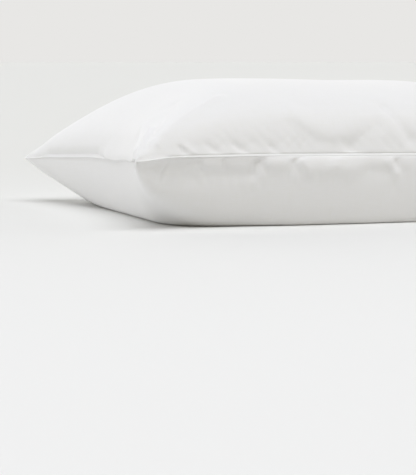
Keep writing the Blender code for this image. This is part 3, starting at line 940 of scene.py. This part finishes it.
def thread_material(look):
    """Spun white sewing thread, twisted from two plies: a little smoother and brighter than the cloth."""
    material, shader = new_material("twisted cotton sewing thread", THREAD_FINISH)
    shader.inputs["Base Color"].default_value = (*look.thread, 1.0)
    tree = material.node_tree
    coords = add_node(tree, "ShaderNodeTexCoord").outputs["Object"]
    diagonal = {"bands_direction": "DIAGONAL"}
    plies = add_node(tree, "ShaderNodeTexWave", diagonal, Vector=coords, Scale=PLY_SCALE)
    bump = add_node(tree, "ShaderNodeBump", Distance=PLY_DEPTH, Height=plies.outputs["Fac"])
    tree.links.new(bump.outputs["Normal"], shader.inputs["Normal"])
    return material


def floor_material(studio):
    """Matt painted floor, its colour darkened with painted shade into the backdrop's tone behind the case,
    so no horizon shows.
    """
    material, shader = new_material("matt painted studio floor", FLOOR_FINISH)
    tree = material.node_tree
    coords = add_node(tree, "ShaderNodeTexCoord").outputs["Object"]
    y = add_node(tree, "ShaderNodeSeparateXYZ", Vector=coords).outputs["Y"]
    # Painted shade: the floor's colour goes from its own tone to the darker far tone behind the case.
    share = add_node(
        tree, "ShaderNodeMapRange", SMOOTH, Value=y, From_Min=studio.shade_start, From_Max=studio.shade_end
    )
    tone = add_node(tree, "ShaderNodeMix", COLOURS, Factor=share.outputs["Result"])
    socket_of(tone, "A").default_value = (*studio.floor, 1.0)
    socket_of(tone, "B").default_value = (*studio.far_floor_shade, 1.0)
    tree.links.new(colour_out(tone), shader.inputs["Base Color"])
    return material


def light_world(tree, studio):
    """Even light low down: the backdrop behind, and the dimmer, warmer side of the room in front."""
    direction = add_node(tree, "ShaderNodeTexCoord").outputs["Generated"]
    split = add_node(tree, "ShaderNodeSeparateXYZ", Vector=direction)
    y, z = split.outputs["Y"], split.outputs["Z"]
    back = add_node(tree, "ShaderNodeMapRange", SMOOTH, Value=y, From_Min=FRONT_END, From_Max=BACKDROP_START)
    wall = add_node(tree, "ShaderNodeMix", COLOURS, Factor=back.outputs["Result"])
    socket_of(wall, "A").default_value = (*studio.front, 1.0)
    socket_of(wall, "B").default_value = (*studio.backdrop, 1.0)
    high = add_node(
        tree, "ShaderNodeMapRange", SMOOTH, Value=z, From_Min=BACKDROP_TOP, From_Max=CEILING_START
    )
    tone = add_node(tree, "ShaderNodeMix", COLOURS, Factor=high.outputs["Result"])
    tree.links.new(colour_out(wall), socket_of(tone, "A"))
    socket_of(tone, "B").default_value = (*studio.ceiling, 1.0)
    tree.links.new(colour_out(tone), tree.nodes["Background"].inputs["Color"])


# ---- the stitching


def stitch_line(sizes, cloth, side):
    """Points on one panel along the hem's stitching, from the front side seam to the back one."""
    x = sizes.case_reach - sizes.hem_depth + STITCH_INSET
    reach = 1 - STITCH_MARGIN / sizes.mouth_half_width
    across = np.linspace(-reach, reach, STITCH_LINE_POINTS)
    plan_x, plan_y = plan(sizes, x, across)
    offset = offset_to_frame(sizes, Weave(sizes, FINE_COLUMNS, FINE_ROWS))
    points = []
    for px, py in zip(plan_x + offset[0], plan_y + offset[1]):
        hit, point, normal, _ = cloth.ray_cast(Vector((px, py, side)), Vector((0, 0, -side)))
        if not hit:
            raise RuntimeError("The hem's stitching misses the cloth")
        points.append(point + normal * STITCH_RISE)
    return points


def stitch_row(name, line, pitch):
    """One stitch, copied along a line and bent to it."""
    curve = bpy.data.curves.new(name + "_line", "CURVE")
    curve.dimensions = "3D"
    spline = curve.splines.new("POLY")
    spline.points.add(len(line) - 1)
    for point, place in zip(spline.points, line):
        point.co = (*place, 1.0)
    path = bpy.data.objects.new(name + "_line", curve)
    bpy.context.scene.collection.objects.link(path)
    deselect_all()
    bpy.ops.mesh.primitive_uv_sphere_add(segments=STITCH_SEGMENTS, ring_count=STITCH_RINGS, radius=0.5)
    row = bpy.context.active_object
    row.name = name
    bpy.ops.transform.resize(value=STITCH_SIZE)
    bpy.ops.transform.translate(value=(pitch / 2, 0, 0))
    bpy.ops.object.transform_apply()
    bpy.ops.object.shade_smooth()
    length_along = sum((b - a).length for a, b in zip(line, line[1:]))
    copies = row.modifiers.new("stitches", "ARRAY")
    copies.count = int(length_along / pitch)
    copies.use_relative_offset = False
    copies.use_constant_offset = True
    copies.constant_offset_displace = (pitch, 0, 0)
    bend = row.modifiers.new("along the hem", "CURVE")
    bend.object = path
    bpy.ops.object.modifier_apply(modifier=copies.name)
    bpy.ops.object.modifier_apply(modifier=bend.name)
    bpy.data.objects.remove(path)
    return row


# ---- the studio


def set_floor(studio):
    deselect_all()
    bpy.ops.mesh.primitive_circle_add(
        vertices=FLOOR_SIDES, radius=studio.floor_radius, fill_type="NGON", location=(0, 0, -FLOOR_GAP)
    )
    floor = bpy.context.active_object
    floor.name = "studio_floor"
    bpy.ops.object.transform_apply()
    floor.data.materials.append(floor_material(studio))


def set_lamp(lamp):
    data = bpy.data.lights.new(lamp.name, "SUN")
    data.angle = math.radians(lamp.spread)
    data.energy = lamp.strength
    data.color = from_hex(lamp.tint)
    turn, rise = math.radians(lamp.azimuth), math.radians(lamp.height)
    towards = Vector((math.sin(turn) * math.cos(rise), -math.cos(turn) * math.cos(rise), math.sin(rise)))
    obj = bpy.data.objects.new(lamp.name, data)
    obj.location = towards * LAMP_DISTANCE
    obj.rotation_euler = towards.to_track_quat("Z", "Y").to_euler()
    bpy.context.scene.collection.objects.link(obj)


def set_camera(studio):
    data = bpy.data.cameras.new("camera")
    data.sensor_width = CAMERA_SENSOR
    data.lens = studio.lens
    data.clip_end = CAMERA_CLIP_END
    camera = bpy.data.objects.new("camera", data)
    camera.location = CAMERA_PLACE
    camera.rotation_euler = (math.radians(90 - CAMERA_PITCH), 0.0, math.radians(-CAMERA_YAW))
    bpy.context.scene.collection.objects.link(camera)
    bpy.context.scene.camera = camera


# ---- the operators


class BEDDING_OT_pillowcase(Operator):
    """Sews the filled pillowcase: both panels, the seam, the folds and the mouth."""

    bl_idname = "bedding.pillowcase"
    bl_label = "Filled pillowcase"

    def execute(self, context):
        sizes = context.scene.pillowcase_sizes
        weave = Weave(sizes, FINE_COLUMNS, FINE_ROWS)
        sack = sew_case(sizes, weave, finished_panels(sizes, weave))
        sack.points = (np.array(sack.points) + offset_to_frame(sizes, weave)).tolist()
        mesh = sack.mesh(CLOTH)
        obj = new_object(CLOTH, mesh)
        face_outwards()
        layer = mesh.uv_layers.new(name="cloth")
        corners = np.empty(len(mesh.loops), dtype=int)
        mesh.loops.foreach_get("vertex_index", corners)
        layer.data.foreach_set("uv", np.array(sack.cloth)[corners].ravel())
        bpy.ops.object.shade_smooth_by_angle(angle=math.radians(SMOOTH_ANGLE))
        mesh.materials.append(cotton_material(context.scene.pillowcase_cotton))
        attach(obj, BODY)
        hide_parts(NODE)
        return {"FINISHED"}


class BEDDING_OT_hem_stitches(Operator):
    """Sews a row of stitches along the hem on both panels."""

    bl_idname = "bedding.hem_stitches"
    bl_label = "Hem stitches"

    def execute(self, context):
        sizes = context.scene.pillowcase_sizes
        cloth = bpy.data.objects[CLOTH]
        thread = thread_material(context.scene.pillowcase_cotton)
        for name, side in (("hem_stitches_top", TOP), ("hem_stitches_under", UNDER)):
            row = stitch_row(name, stitch_line(sizes, cloth, side), sizes.stitch)
            row.data.materials.append(thread)
            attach(row, BODY)
        return {"FINISHED"}


class BEDDING_OT_studio(Operator):
    """Sets the floor, the lights and the camera."""

    bl_idname = "bedding.studio"
    bl_label = "Studio"

    def execute(self, context):
        studio = context.scene.pillowcase_studio
        set_floor(studio)
        world = bpy.data.worlds.new("even sky")
        world.use_nodes = True
        light_world(world.node_tree, studio)
        context.scene.world = world
        for lamp in LAMPS:
            set_lamp(lamp)
        set_camera(studio)
        context.scene.view_settings.view_transform = "Standard"
        return {"FINISHED"}


class BEDDING_PT_pillowcase(Panel):
    """The pillowcase's sizes and steps."""

    bl_idname = "BEDDING_PT_pillowcase"
    bl_label = "Pillowcase"
    bl_space_type = "VIEW_3D"
    bl_region_type = "UI"
    bl_category = "Pillowcase"

    def draw(self, context):
        for group in ("pillowcase_sizes", "pillowcase_cotton", "pillowcase_studio"):
            settings = getattr(context.scene, group)
            box = self.layout.box()
            for name in settings.bl_rna.properties.keys():
                if name not in ("rna_type", "name"):
                    box.prop(settings, name)
        for operator in OPERATORS:
            self.layout.operator(operator.bl_idname)


OPERATORS = (BEDDING_OT_pillowcase, BEDDING_OT_hem_stitches, BEDDING_OT_studio)
SETTINGS = (
    ("pillowcase_sizes", CaseSettings),
    ("pillowcase_cotton", CottonSettings),
    ("pillowcase_studio", StudioSettings),
)


def register():
    for name, group in SETTINGS:
        bpy.utils.register_class(group)
        setattr(bpy.types.Scene, name, PointerProperty(type=group))
    for cls in (*OPERATORS, BEDDING_PT_pillowcase):
        bpy.utils.register_class(cls)


def unregister():
    for cls in reversed((*OPERATORS, BEDDING_PT_pillowcase)):
        bpy.utils.unregister_class(cls)
    for name, group in reversed(SETTINGS):
        delattr(bpy.types.Scene, name)
        bpy.utils.unregister_class(group)


def main():
    register()
    bpy.ops.bedding.pillowcase()
    bpy.ops.bedding.hem_stitches()
    bpy.ops.bedding.studio()


if __name__ == "__main__":
    main()
